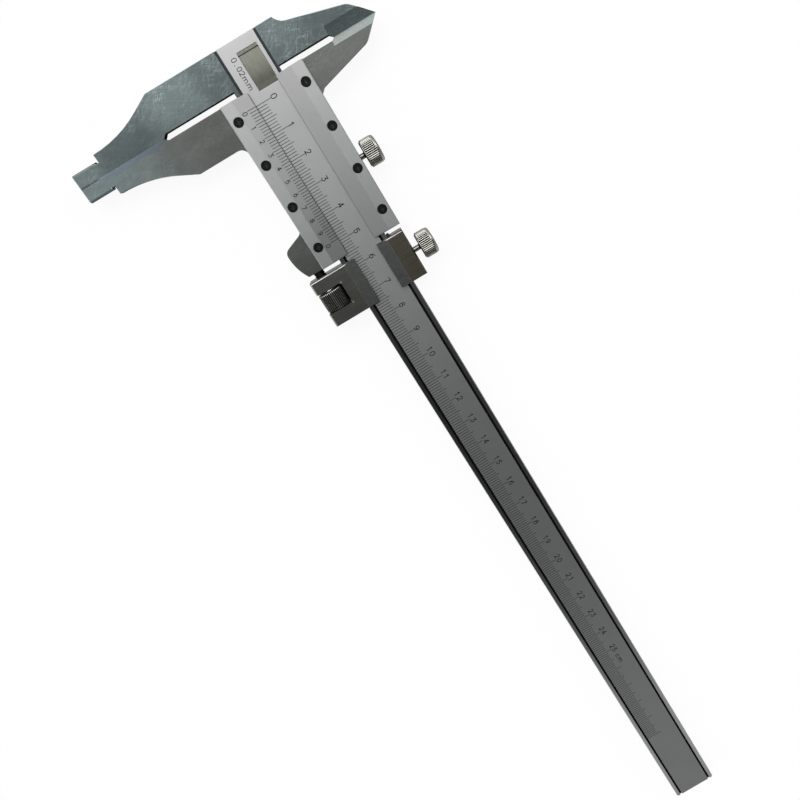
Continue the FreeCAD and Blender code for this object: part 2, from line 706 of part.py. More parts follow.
def makeAdjustingScrew():
    # Rod along +Z from the bottom of its seat in the slider tail
    body = newBody("adjusting_screw")
    length = d.rodSeat + d.rodReach
    revolve(body, "Rod", [
        (0.0, 0.0),
        (d.rodRadius, 0.0),
        (d.rodRadius, length - d.rodChamfer),
        (d.rodRadius - d.rodChamfer, length),
        (0.0, length),
    ])
    bore = newSketch(body, "PinBore", "YZ_Plane", (0, 0, d.rodRadius))
    circle(bore, 0.0, d.rodSeat / 2, d.pinRadius + d.fitGap)
    pocket(body, "PinBoreCut", bore, 2 * d.rodRadius)
    place(body, frameEnd - d.rodSeat, -rodSide, d.rodHeight, Rotation(Vector(0, 1, 0), 90))
    return body


def makePin():
    body = newBody("adjusting_screw_pin")
    sketch = newSketch(body, "PinOutline", "XY_Plane")
    circle(sketch, 0.0, 0.0, d.pinRadius)
    pad(body, "Pin", sketch, pinLength)
    place(body, frameEnd - d.rodSeat / 2, -rodSide, d.thumbBack, Rotation())
    return body


def makeNut():
    # Knurled captive nut, bored for the adjusting screw, along +Z
    body = newBody("adjusting_nut")
    bore = d.rodRadius + d.fitGap
    shoulder = d.nutRadius - d.knurlDepth - d.knurlShoulder
    knurlHigh = d.nutLength - d.edgeBreak
    revolve(body, "Turned", [
        (bore, 0.0),
        (shoulder, 0.0),
        (shoulder, d.edgeBreak),
        (d.nutRadius, d.edgeBreak),
        (d.nutRadius, knurlHigh),
        (shoulder, knurlHigh),
        (shoulder, d.nutLength),
        (bore, d.nutLength),
    ])
    knurl(body, d.nutRadius, d.edgeBreak, knurlHigh)
    start = carriageStart + d.nutSlotStart + d.nutGap
    place(body, start, -rodSide, d.rodHeight, Rotation(Vector(0, 1, 0), 90))
    return body


def makeCarriage():
    body = newBody("carriage")
    top = seatTop + d.carriageTop
    section = newSketch(body, "Section", "YZ_Plane", (0, 0, carriageStart))
    outline(section, [
        (-d.carriageNutSide, 0.0),
        (d.carriageLockSide, 0.0),
        (d.carriageLockSide, top),
        (d.lipBevel, top),
        (d.lipInner, seatTop + d.lipEdge),
        (d.lipInner, seatTop),
        (channelHigh, seatTop),
        (channelHigh, d.backWeb),
        (-channelLow, d.backWeb),
        (-channelLow, seatTop),
        (-d.lipInner, seatTop),
        (-d.lipInner, seatTop + d.lipEdge),
        (-d.lipBevel, top),
        (-d.carriageNutSide, top),
    ])
    pad(body, "Block", section, d.carriageLength)

    def onRim(edge):
        # Front edges along the outer sides and across the jaw side
        ends = [v.Point for v in edge.Vertexes]
        sides = (-d.carriageNutSide, d.carriageLockSide)
        outer = any(all(near(p.y, side) for p in ends) for side in sides)
        across = all(near(p.x, carriageStart) for p in ends)
        return all(near(p.z, top) for p in ends) and (outer or across)

    dress(body, "Chamfer", "Rim", onRim, d.carriageChamfer)
    breakAlong(body, "CarriageEdges", (-d.carriageNutSide, d.carriageLockSide), (0.0,))
    slot = newSketch(body, "NutSlot", "XY_Plane", (0, 0, top))
    x0 = carriageStart + d.nutSlotStart
    x1 = x0 + d.nutLength + 2 * d.nutGap
    y0 = -rodSide + d.nutRadius + d.nutGap
    r = d.nutCorner
    outline(slot, [
        (x0, -d.carriageNutSide),
        (x1, -d.carriageNutSide),
        (x1, y0 - r, r),
        (x1 - r, y0),
        (x0 + r, y0, r),
        (x0, y0 - r),
    ])
    pocket(body, "NutSlotCut", slot, top)
    rod = newSketch(body, "RodBore", "YZ_Plane", (0, 0, carriageEnd))
    circle(rod, -rodSide, d.rodHeight, d.rodRadius + d.rodGap)
    pocket(body, "RodBoreCut", rod, d.carriageLength)
    lock = newSketch(body, "LockBore", "XZ_Plane", (0, 0, -channelHigh))
    circle(lock, carriageStart + d.carriageLockOffset, axisHeight, d.lockRadius + d.runGap)
    pocket(body, "LockBoreCut", lock, d.carriageLockSide)
    return body


parts = [
    makeBeam(),
    makeSliderBody(),
    makePlate("vernier_plate", -1),
    makePlate("cover_plate", 1),
]
for side, plateName in ((-1, "vernier_plate"), (1, "cover_plate")):
    for index in range(screwCount):
        parts.append(makePlateScrew("%s_screw_%d" % (plateName, index + 1), index, side))
parts += [
    makeGib("slider_gib", frameStart + d.gibInset, frameEnd - d.gibInset),
    makeLockScrew("slider_lock_screw", lockPlace, d.frameHalf, d.knobStand),
    makeAdjustingScrew(),
    makePin(),
    makeNut(),
    makeCarriage(),
    makeGib("carriage_gib", carriageStart - d.gibNose, carriageEnd - d.gibInset),
    makeLockScrew("carriage_lock_screw", carriageStart + d.carriageLockOffset,
                  d.carriageLockSide, d.carriageKnobStand),
]

doc.recompute()
for item in doc.Objects:
    if "Invalid" in item.State or "Error" in item.State:
        raise RuntimeError("%s failed: %s" % (item.Label, item.State))
for part in parts:
    if part.Shape.isNull() or not part.Shape.isValid() or not part.Shape.Solids:
        raise RuntimeError("%s has no valid solid" % part.Label)

os.makedirs("parts", exist_ok=True)
for part in parts:
    part.Shape.exportStep(os.path.join("parts", part.Label + ".step"))
    box = part.Shape.BoundBox
    print("%-24s solids %d volume %9.2f  x %7.2f %7.2f  y %7.2f %7.2f  z %6.2f %6.2f" % (
        part.Label, len(part.Shape.Solids), part.Shape.Volume,
        box.XMin, box.XMax, box.YMin, box.YMax, box.ZMin, box.ZMax))
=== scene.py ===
import json
import math
import bpy
import numpy as np
from mathutils import Matrix, Vector


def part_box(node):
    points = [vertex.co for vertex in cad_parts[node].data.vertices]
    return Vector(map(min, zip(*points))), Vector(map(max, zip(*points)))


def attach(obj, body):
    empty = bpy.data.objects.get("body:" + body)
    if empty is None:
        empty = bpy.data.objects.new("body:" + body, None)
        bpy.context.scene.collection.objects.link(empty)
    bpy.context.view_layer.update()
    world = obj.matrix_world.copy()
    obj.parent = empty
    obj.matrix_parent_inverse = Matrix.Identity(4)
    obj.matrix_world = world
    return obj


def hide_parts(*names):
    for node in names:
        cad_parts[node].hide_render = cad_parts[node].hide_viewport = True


print("frame: loading the packed caliper")
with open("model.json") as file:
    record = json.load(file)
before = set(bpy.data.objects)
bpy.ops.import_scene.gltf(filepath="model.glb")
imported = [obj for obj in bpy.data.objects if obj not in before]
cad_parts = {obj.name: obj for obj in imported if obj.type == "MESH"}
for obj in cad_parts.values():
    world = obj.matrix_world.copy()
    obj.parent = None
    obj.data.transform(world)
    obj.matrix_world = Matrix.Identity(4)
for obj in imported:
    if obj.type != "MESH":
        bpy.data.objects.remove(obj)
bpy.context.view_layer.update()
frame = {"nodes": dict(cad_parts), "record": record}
nodes = frame["nodes"]
mm = 0.001


def nodeBox(name):
    low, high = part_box(name)
    return np.array(low) / mm, np.array(high) / mm


plateLow, plateHigh = nodeBox("vernier_plate")
sliderEnd = nodeBox("slider_body")[1][0]
carriageTop = nodeBox("carriage")[1][2]

# levels and widths of the caliper in millimetres
caliper = {
    "railTop": nodeBox("main_beam")[1][2],
    "scaleDrop": 0.25,  # scale face below the rails
    "grooveDepth": 0.8,
    "beamHalf": 9.125,
    "scaleHalf": 6.725,
    "grooveWidth": 0.9,
    "plateBevel": 11.05,  # start of the slope of the front plates
    "plateLip": 0.3,
    "recess": (-16.4, -3.35, -1.8, 5.6),  # x from, x to, y from, y to
    "recessRamp": 1.8,
    "contact": -5.85,  # plane where the jaws meet
    "slotEnds": (-36.3, 28.0),
    "lipBevel": 8.65,  # start of the slope of the carriage lips
}
scaleTop = caliper["railTop"] - caliper["scaleDrop"]


class Signal:
    # one output socket; arithmetic on it adds Math nodes
    def __init__(self, finish, socket):
        self.finish = finish
        self.socket = socket

    def combine(self, operation, first, second=None):
        values = [first] if second is None else [first, second]
        return self.finish.add("ShaderNodeMath", {"operation": operation}, dict(enumerate(values)))

    def __add__(self, other):
        return self.combine("ADD", self, other)

    def __radd__(self, other):
        return self.combine("ADD", other, self)

    def __sub__(self, other):
        return self.combine("SUBTRACT", self, other)

    def __rsub__(self, other):
        return self.combine("SUBTRACT", other, self)

    def __mul__(self, other):
        return self.combine("MULTIPLY", self, other)

    def __rmul__(self, other):
        return self.combine("MULTIPLY", other, self)

    def __truediv__(self, other):
        return self.combine("DIVIDE", self, other)

    def __abs__(self):
        return self.combine("ABSOLUTE", self)

    def most(self, other):
        return self.combine("MAXIMUM", self, other)

    def rise(self, low, high):
        # 0 below low, 1 above high, smooth between them
        return self.finish.add("ShaderNodeMapRange", {"interpolation_type": "SMOOTHSTEP"},
                               {"Value": self, "From Min": low, "From Max": high})

    def between(self, low, high, soft=0.02):
        # 1 from low to high, 0 outside, with soft edges
        return self.rise(low - soft, low + soft) * (1 - self.rise(high - soft, high + soft))


class Finish:
    # a material or world under construction
    def __init__(self, tree):
        self.tree = tree
        tree.nodes.clear()

    def add(self, kind, settings=None, inputs=None, output=0):
        node = self.tree.nodes.new(kind)
        for key, value in (settings or {}).items():
            if key == "stops":
                ramp = node.color_ramp.elements
                ramp.remove(ramp[1])
                ramp[0].position = value[0][0]
                ramp[0].color = (*value[0][1], 1)
                for position, colour in value[1:]:
                    ramp.new(position).color = (*colour, 1)
            else:
                setattr(node, key, value)
        for key, value in (inputs or {}).items():
            if isinstance(value, Signal):
                self.tree.links.new(value.socket, node.inputs[key])
            else:
                node.inputs[key].default_value = value
        return Signal(self, node.outputs[output])

    def close(self, kind, surface):
        output = self.tree.nodes.new(kind)
        self.tree.links.new(surface.socket, output.inputs[0])

    def place(self):
        # place on the piece in millimetres
        spot = self.add("ShaderNodeTexCoord", output=3)
        return self.add("ShaderNodeVectorMath", {"operation": "SCALE"}, {0: spot, "Scale": 1 / mm})

    def upward(self):
        # 1 on faces that look along Z either way, 0 on side walls
        normal = self.add("ShaderNodeTexCoord", output=1)
        return abs(self.axes(normal)[2]).rise(0.3, 0.55)

    def axes(self, vector):
        outputs = self.add("ShaderNodeSeparateXYZ", None, {0: vector}).socket.node.outputs
        return Signal(self, outputs[0]), Signal(self, outputs[1]), Signal(self, outputs[2])

    def stretched(self, vector, scale, turn=0.0):
        # turned about Z first and then scaled along its own axes
        return self.add("ShaderNodeMapping", {"vector_type": "TEXTURE"},
                        {"Vector": vector, "Scale": [1 / value for value in scale], "Rotation": (0, 0, turn)})

    def noise(self, vector, scale, detail=3, roughness=0.6):
        return self.add("ShaderNodeTexNoise", None,
                        {"Vector": vector, "Scale": scale, "Detail": detail, "Roughness": roughness})

    def blend(self, factor, first, second):
        # colours mixed by a factor
        node = self.tree.nodes.new("ShaderNodeMix")
        node.data_type = "RGBA"
        for index, value in ((0, factor), (6, first), (7, second)):
            if isinstance(value, Signal):
                self.tree.links.new(value.socket, node.inputs[index])
            else:
                node.inputs[index].default_value = value if index == 0 else (*value[:3], 1)
        return Signal(self, node.outputs[2])

    def shade(self, colour, light):
        # a colour made lighter or darker by a grey signal
        grey = self.add("ShaderNodeCombineXYZ", None, {0: light, 1: light, 2: light})
        return self.add("ShaderNodeVectorMath", {"operation": "MULTIPLY"}, {0: colour, 1: grey})


def newMaterial(name, build):
    material = bpy.data.materials.new(name)
    material.use_nodes = True
    finish = Finish(material.node_tree)
    finish.close("ShaderNodeOutputMaterial", build(finish))
    return material


def steel(finish, colour, roughness, height=None, depth=0.02, metallic=1.0):
    # metal with a bump; the depth of the bump is in millimetres
    inputs = {"Base Color": colour, "Roughness": roughness, "Metallic": metallic,
              "Specular Tint": (0.45, 0.45, 0.45, 1)}
    if height is not None:
        inputs["Normal"] = finish.add("ShaderNodeBump", None,
                                      {"Strength": 1.0, "Distance": depth * mm, "Height": height})
    return finish.add("ShaderNodeBsdfPrincipled", None, inputs)


def brushed(finish, spot, along, fine=9.0, length=0.12):
    # streaks drawn out along one axis: noise squeezed across it
    scale = [fine, fine, fine]
    scale["xyz".index(along)] = fine * length
    return finish.noise(finish.stretched(spot, scale), 1.0, 5, 0.7)


def scratches(finish, spot, turn, density, width):
    # sparse hairlines: thin ridges of a noise drawn out along Y, turned by an angle
    line = finish.noise(finish.stretched(spot, (density, density * 0.06, density), turn), 1.0, 1, 0.5)
    return (1 - abs(line - 0.5) / width).most(0.0)


print("materials: steels, chrome, nickel, black oxide")

chrome = {
    "near": (0.535, 0.538, 0.536),
    "colour": (0.545, 0.575, 0.562),
    "roughness": 0.375,
    "grain": 14.0,
}
ground = {
    "blue": (0.33, 0.40, 0.405),
    "warm": (0.38, 0.40, 0.375),
    "tint": (0.27, 0.36, 0.45),
    "roughness": 0.23,
    # how much darker the painted shade makes the side walls, and the walls of the slot between the jaws
    "wall": 0.30,
    "slotWall": 0.04,
}
rail = {"colour": (0.55, 0.56, 0.55), "roughness": 0.20}
recess = {"light": (0.23, 0.232, 0.195), "dark": (0.12, 0.123, 0.105), "roughness": 0.40}
# painted shade in the grooves beside the scale face
grooveShade = {
    "colour": (0.012, 0.012, 0.013),
    "head": (0.060, 0.068, 0.072),  # beside the jaws
    "roughness": 0.6,
}


def satinParts(f, spot):
    # matte chrome: fine even grain, a soft cloudiness and a trace of brushing
    grain = f.noise(spot, chrome["grain"], 4, 0.7)
    cloud = f.noise(spot, 0.12, 3, 0.5)
    brush = brushed(f, spot, "x", 7.0, 0.08)
    tint = f.blend(f.axes(spot)[0].rise(-5, 35), chrome["near"], chrome["colour"])
    colour = f.shade(tint, 0.87 + 0.10 * cloud + 0.10 * brush + 0.06 * grain)
    rough = chrome["roughness"] + 0.08 * (grain - 0.5) + 0.08 * (brush - 0.5)
    return colour, rough, grain + 0.6 * brush


def groundParts(f, spot, colour, worn):
    # ground steel: fine grinding lines along the jaws, soft clouds, worn patches with crossing hairlines
    x, y = f.axes(spot)[:2]
    lines = brushed(f, spot, "y", 5.0, 0.05)
    cloud = f.noise(f.stretched(spot, (0.10, 0.05, 0.10)), 1.0, 4, 0.6)
    grain = f.noise(spot, 1.2, 5, 0.75)
    patch = f.noise(f.stretched(spot, (0.13, 0.08, 0.1), 0.5), 1.0, 3, 0.6).rise(0.42, 0.62)
    hair = scratches(f, spot, 0.5, 1.6, 0.04) + scratches(f, spot, -0.45, 1.2, 0.035)
    hair = hair + scratches(f, spot, 1.0, 1.4, 0.035)
    tone = f.shade(colour, 0.62 + 0.14 * lines + 0.24 * cloud + (0.28 + 0.22 * worn) * grain)
    wear = 0.08 * patch * grain + (0.11 + 0.48 * patch) * hair
    tone = f.shade(tone, 1 + worn * (1 - 0.7 * flank(f)) * wear)
    # painted highlight: a pale line where the nibs meet, dark at their very tip
    seam = (1 - abs(x - caliper["contact"]).rise(0.05, 0.3)) * (1 - y.rise(-37.5, -36.5))
    tone = f.shade(tone, 1 + seam * (0.95 * y.rise(-62, -60) - 0.6))
    # painted shade: side walls darker, darkest on the walls of the slot between the jaws
    slot = abs(x - caliper["contact"]).between(-1, 3.2) * y.between(*caliper["slotEnds"], 0.2)
    up = f.upward()
    wall = 1 - up
    tone = f.shade(tone, up + wall * (ground["wall"] - (ground["wall"] - ground["slotWall"]) * slot))
    rough = ground["roughness"] + 0.12 * (lines - 0.5) + 0.10 * (cloud - 0.5) + wall * (0.2 + 0.4 * slot)
    return tone, rough, lines


def flank(f):
    # 1 on the sloped flanks of the jaws, 0 on their flat front
    normal = f.add("ShaderNodeTexCoord", output=1)
    return 1 - abs(f.axes(normal)[2]).rise(0.97, 0.995)


def buildBeam(f):
    spot = f.place()
    x, y, z = f.axes(spot)
    side = abs(y)
    face = side.between(-1, caliper["scaleHalf"]) * z.rise(scaleTop - 0.12, scaleTop - 0.06)
    low = caliper["railTop"] - caliper["grooveDepth"]
    edge = caliper["scaleHalf"] + caliper["grooveWidth"]
    dark = side.between(caliper["scaleHalf"], edge) * z.between(low - 0.07, caliper["railTop"] - 0.02)
    # the jaws, and on the head the strips beside the grooves too
    jaw = side.rise(caliper["beamHalf"] - 0.1, caliper["beamHalf"] + 0.02)
    head = 1 - x.rise(caliper["contact"] - 0.1, caliper["contact"])
    jaw = jaw.most(side.rise(edge - 0.02, edge + 0.02) * head)
    x0, x1, y0, y1 = caliper["recess"]
    sunk = x.between(x0, x1) * y.between(y0, y1) * z.between(scaleTop - 0.85, scaleTop - 0.006, 0.003)

    railLines = brushed(f, spot, "x", 6.0, 0.04)
    up = f.upward()
    # painted light and shade: the rails lighter further along the beam and darker on the left before x 110 to
    # 200; their side walls darker
    railLightShade = 0.76 + 0.50 * x.rise(92, 155) + 0.10 * x.rise(240, 300)
    railLightShade = railLightShade * (1 - 0.35 * (1 - y.rise(-1, 0)) * (1 - x.rise(110, 200)))
    railColour = f.shade(rail["colour"], (0.85 + 0.25 * railLines) * (0.45 + 0.55 * up) * railLightShade)
    railRough = rail["roughness"] + 0.12 * (railLines - 0.5)
    satinColour, satinRough, satinHeight = satinParts(f, spot)
    # painted light and shade: darker towards the middle of the jaw, lighter on the nib, and a painted
    # highlight on the sloped flanks
    jawLightShade = 0.70 - 0.13 * y.between(-17, -5, 3) - 0.17 * y.rise(13, 24) + 0.06 * (1 - y.rise(-20, -17))
    jawLightShade = jawLightShade - 0.24 * (1 - y.rise(-42, -30)) + 0.34 * (1 - y.rise(-64, -54))
    jawColour, jawRough, jawHeight = groundParts(f, spot, ground["blue"], 1.0)
    jawColour = f.shade(jawColour, jawLightShade * (1 + 1.6 * flank(f) * y.rise(21, 27)))
    recessLines = brushed(f, spot, "x", 8.0, 0.03)
    # painted light and shade: the recess floor lighter at its start and darker towards its end, darker still
    # on the ramp
    recessColour = f.blend((x + 2 * recessLines).rise(x0 + 2, x1 + 1), recess["light"], recess["dark"])
    rampStart = x1 - caliper["recessRamp"]
    recessShade = (1 - 0.2 * x.rise(x1 - 6, x1 - 2)) * (1 - 0.55 * x.rise(rampStart - 0.06, rampStart + 0.04))
    recessColour = f.shade(recessColour, (0.1 + 1.8 * recessLines) * recessShade)

    colour = f.blend(jaw, railColour, jawColour)
    colour = f.blend(face, colour, satinColour)
    colour = f.blend(sunk, colour, recessColour)
    # painted shade in the grooves, less of it near the head
    colour = f.blend(dark, colour, f.blend(x.rise(-8, 30), grooveShade["head"], grooveShade["colour"]))
    rough = railRough + jaw * (jawRough - railRough)
    rough = rough + face * (satinRough - rough)
    rough = rough + sunk * (recess["roughness"] - rough)
    rough = rough + dark * (grooveShade["roughness"] - rough)
    height = railLines + jaw * (jawHeight - railLines)
    height = height + face * (satinHeight - height)
    height = height + sunk * (recessLines - height)
    return steel(f, colour, rough, height, 0.0015)


def buildSlider(f):
    # warmer near the beam, bluer towards the tips of the jaws
    spot = f.place()
    x, y = f.axes(spot)[:2]
    base = f.blend((abs(y) + 14 * f.noise(spot, 0.09, 3, 0.6)).rise(30, 66), ground["warm"], ground["blue"])
    # bluer beside the contact line of the nibs
    tint = (1 - (x - caliper["contact"]).rise(0.8, 2.4)) * y.between(-60, -37, 3)
    base = f.blend(0.6 * tint, base, ground["tint"])
    colour, rough, height = groundParts(f, spot, base, 0.25)
    # painted light and shade: lighter beyond x 25 to 35, towards the tip of the nib and beyond y 5; a painted
    # highlight on the sloped flanks beyond y 0
    tone = 0.62 + 0.28 * x.rise(25, 35) + 0.14 * (1 - y.rise(-34, -24)) + 0.22 * (1 - y.rise(-48, -36))
    tone = tone + 0.12 * (1 - y.rise(-62, -50)) + 0.20 * y.rise(5, 15)
    colour = f.shade(colour, tone * (1 + 0.25 * flank(f) * y.rise(0, 5)))
    return steel(f, colour, rough, height, 0.0015)


def buildPin(f):
    spot = f.place()
    lines = brushed(f, spot, "z", 5.0, 0.1)
    return steel(f, f.shade(rail["colour"], 0.8 + 0.3 * lines), 0.22 + 0.15 * lines, lines, 0.004)


# places in millimetres, then how much darker the painted shade makes the inner edge of each plate and the
# outer rim
plateEdgeShade = {"inner": 5.35, "outer": 15.4, "line": 0.18, "vernier": 0.72, "cover": 0.42, "rim": 0.42}


def buildSatin(f):
    # painted shade: side walls darker; fine dark lines where the broken edges catch no light
    spot = f.place()
    x, y = f.axes(spot)[:2]
    side = abs(y)
    left = 1 - y.rise(-1, 1)
    up = f.upward()
    colour, rough, height = satinParts(f, spot)
    lineEnd = plateEdgeShade["inner"] + plateEdgeShade["line"]
    inner = 1 - side.rise(lineEnd - 0.06, lineEnd)
    inner = inner * (plateEdgeShade["vernier"] + (plateEdgeShade["cover"] - plateEdgeShade["vernier"]) * (1 - left))
    rim = y.rise(plateEdgeShade["outer"] - 0.3, plateEdgeShade["outer"] - 0.2)
    rim = rim.most(x.rise(plateHigh[0] - 0.3, plateHigh[0] - 0.2))
    # painted light and shade on the sloped fronts: darker on the right; on the left lighter near the head,
    # darker beyond x 50
    slope = 1 - side.rise(caliper["plateBevel"] - 0.1, caliper["plateBevel"] + 0.1)
    slope = slope * (0.10 - 0.15 * left + 0.30 * left * x.rise(16, 50))
    wall = 0.6 - 0.5 * (1 - side.rise(5.4, 5.5))
    tone = (up + (1 - up) * wall) * (1 - inner) * (1 - plateEdgeShade["rim"] * rim) * (1 - slope)
    # painted shade: the left plate darker beyond x 30
    tone = tone * (1 - 0.1 * left * x.rise(30, 55))
    return steel(f, f.shade(colour, tone), rough, height, 0.0012)


carriageSteel = {
    "left": (0.300, 0.300, 0.272),
    "right": (0.315, 0.285, 0.232),
    "lip": (0.355, 0.375, 0.360),
    "corners": (62.0, 69.95),  # x of the inner corners of the nut slot
    "slotDepth": -12.55,  # y of the same corners
    # colour of the painted highlight
    "highlight": (0.98, 0.98, 0.97),
    # how much darker the painted shade makes the side walls
    "wall": 0.4,
    "roughness": 0.25,
}


def buildCarriage(f):
    spot = f.place()
    x, y, z = f.axes(spot)
    lines = brushed(f, spot, "y", 2.4, 0.05)
    cloud = f.noise(spot, 0.15, 3, 0.5)
    bend = caliper["lipBevel"]
    lip = 1 - abs(y).rise(bend - 0.05, bend + 0.05)
    front = f.blend(y.rise(-4, 12), carriageSteel["left"], carriageSteel["right"])
    colour = f.blend(lip, front, carriageSteel["lip"])
    up = f.upward()
    crease = abs(y).between(bend - 0.1, bend + 0.1, 0.06)
    # painted shade on the side walls, and a painted highlight along the crease where the lips bend
    tone = (0.60 + 0.46 * lines + 0.25 * cloud) * (carriageSteel["wall"] * (1 - up) + up)
    tone = tone * (1 + 0.4 * crease)
    # painted shade on the broken edges, painted light on those on the nut side; a painted highlight along the
    # upper half of the one towards the slider, and at the inner corners of the nut slot
    normal = f.axes(f.add("ShaderNodeTexCoord", output=1))
    broken = up * (1 - abs(normal[2]).rise(0.76, 0.84))
    highlight = broken * (0 - normal[0]).rise(0.5, 0.6) * z.rise(carriageTop - 0.24, carriageTop - 0.18)
    nutSide = (0 - normal[1]).rise(0.5, 0.6)
    colour = f.shade(colour, tone * (1 - broken * (0.6 - 0.9 * nutSide)))
    # painted highlight at the inner corners of the nut slot
    for cornerX in carriageSteel["corners"]:
        dx, dy = x - cornerX, y - carriageSteel["slotDepth"]
        highlight = highlight.most(up * (1 - (dx * dx + dy * dy).rise(0.05, 0.2)))
    colour = f.blend(highlight, colour, carriageSteel["highlight"])
    rough = carriageSteel["roughness"] + 0.10 * (lines - 0.5)
    return steel(f, colour, rough, lines, 0.001)


blackOxide = {"colour": (0.013, 0.0135, 0.014), "recess": (0.055, 0.058, 0.06), "roughness": 0.42}


def buildBlack(f):
    spot = f.place()
    grain = f.noise(spot, 6.0, 4, 0.6)
    # the cross recess lies just below the front of the plate screws
    cross = f.axes(spot)[2].between(plateHigh[2] - 0.6, plateHigh[2] - 0.05, 0.01)
    colour = f.blend(cross, f.shade(blackOxide["colour"], 0.6 + 0.8 * grain), blackOxide["recess"])
    return steel(f, colour, blackOxide["roughness"] + 0.2 * (grain - 0.5), grain, 0.002, 0.8)


spring = {"colour": (0.10, 0.10, 0.105), "roughness": 0.34}


def buildSpring(f):
    spot = f.place()
    lines = brushed(f, spot, "x", 5.0, 0.08)
    colour = f.shade(spring["colour"], 0.8 + 0.35 * lines)
    return steel(f, colour, spring["roughness"] + 0.2 * (lines - 0.5), lines, 0.004)


nickel = {"colour": (0.77, 0.765, 0.71), "root": (0.02, 0.019, 0.016), "roughness": 0.17}
nutSteel = {"colour": (0.42, 0.43, 0.39), "root": (0.02, 0.02, 0.017), "roughness": 0.24}


def knurled(look):
    # painted light and shade: bright on the ribs, dark between them; the piece carries the painted tone of
    # each point
    def build(f):
        spot = f.place()
        cloud = f.noise(spot, 1.3, 4, 0.6)
        tone = f.add("ShaderNodeAttribute", {"attribute_name": "tone"}, output=2)
        colour = f.blend(tone, look["root"], f.shade(look["colour"], 0.82 + 0.36 * cloud))
        return steel(f, colour, look["roughness"] + 0.14 * (cloud - 0.5), cloud, 0.001)
    return build


lacquer = {"colour": (0.013, 0.0135, 0.014), "roughness": 0.55}


def buildInk(f):
    spot = f.place()
    grain = f.noise(spot, 5.0, 3, 0.6)
    colour = f.shade(lacquer["colour"], 0.6 + 0.8 * grain)
    return steel(f, colour, lacquer["roughness"], None, 0, 0.0)


finishes = {
    "beam_steel": newMaterial("beam_steel_ground", buildBeam),
    "jaw_steel": newMaterial("jaw_steel_ground", buildSlider),
    "satin_chrome": newMaterial("plate_satin_chrome", buildSatin),
    "black_steel": newMaterial("screw_black_oxide", buildBlack),
    "spring_steel": newMaterial("gib_spring_steel", buildSpring),
    "knob_nickel": newMaterial("knob_nickel_plate", knurled(nickel)),
    "pin_steel": newMaterial("pin_ground_steel", buildPin),
    "nut_steel": newMaterial("nut_dark_steel", knurled(nutSteel)),
    "carriage_steel": newMaterial("carriage_dark_steel", buildCarriage),
}
ink = newMaterial("engraving_black", buildInk)

for part in frame["record"]["subparts"]:
    mesh = nodes[part["node"]].data
    mesh.materials.clear()
    mesh.materials.append(finishes[part["material_slot"]])


def newPiece(name, points, faces, material, body, smooth=True):
    # points in millimetres
    mesh = bpy.data.meshes.new(name)
    mesh.from_pydata((np.asarray(points) * mm).tolist(), [], np.asarray(faces).tolist())
    mesh.validate()
    mesh.polygons.foreach_set("use_smooth", np.full(len(mesh.polygons), smooth))
    mesh.materials.append(material)
    piece = bpy.data.objects.new(name, mesh)
    bpy.context.scene.collection.objects.link(piece)
    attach(piece, body)
    return piece


# engraved scales and numbers

engraving = {
    "main": {"height": 1.95, "pitch": 2.1, "stroke": 0.30, "baseline": 0.38},
    "vernier": {"height": 1.45, "pitch": 1.3, "stroke": 0.24, "baseline": -10.3},
    "reading": {"height": 1.65, "pitch": 1.53, "stroke": 0.23, "baseline": -4.35},
    "tickWidth": 0.19,
    "above": 0.008,
    "below": 0.03,
    "mainTicks": 300,
    "mainStart": 0.15,  # ticks start this far inside the scale face
    "mainTops": (0.15, -0.85, -1.83),  # y where ticks of ten, of five and others end
    "numbers": 25,
    "vernierTicks": 50,
    "vernierPitch": 0.98,
    "vernierShift": 0.4,  # numbers beside their ticks
    "vernierLow": (-8.1, -8.5, -8.0),  # y where ticks start, and from where to where every fifth is longer
    # words, x of their middle, style, and a wider pitch where the letters are wide
    "labels": [("c", 254.3, "main", None), ("m", 256.8, "main", None),
               ("0.02", -12.75, "reading", None), ("mm", -7.2, "reading", 2.5)],
}


def arc(x, y, across, up, start, end, count=14, square=1.0):
    # points of an ellipse from one angle to another; square below 1 flattens its sides
    angle = np.radians(np.linspace(start, end, count))
    c = np.cos(angle)
    s = np.sin(angle)
    return np.stack([x + across * np.sign(c) * np.abs(c) ** square,
                     y + up * np.sign(s) * np.abs(s) ** square], 1)


def line(*points):
    return np.array(points, float)


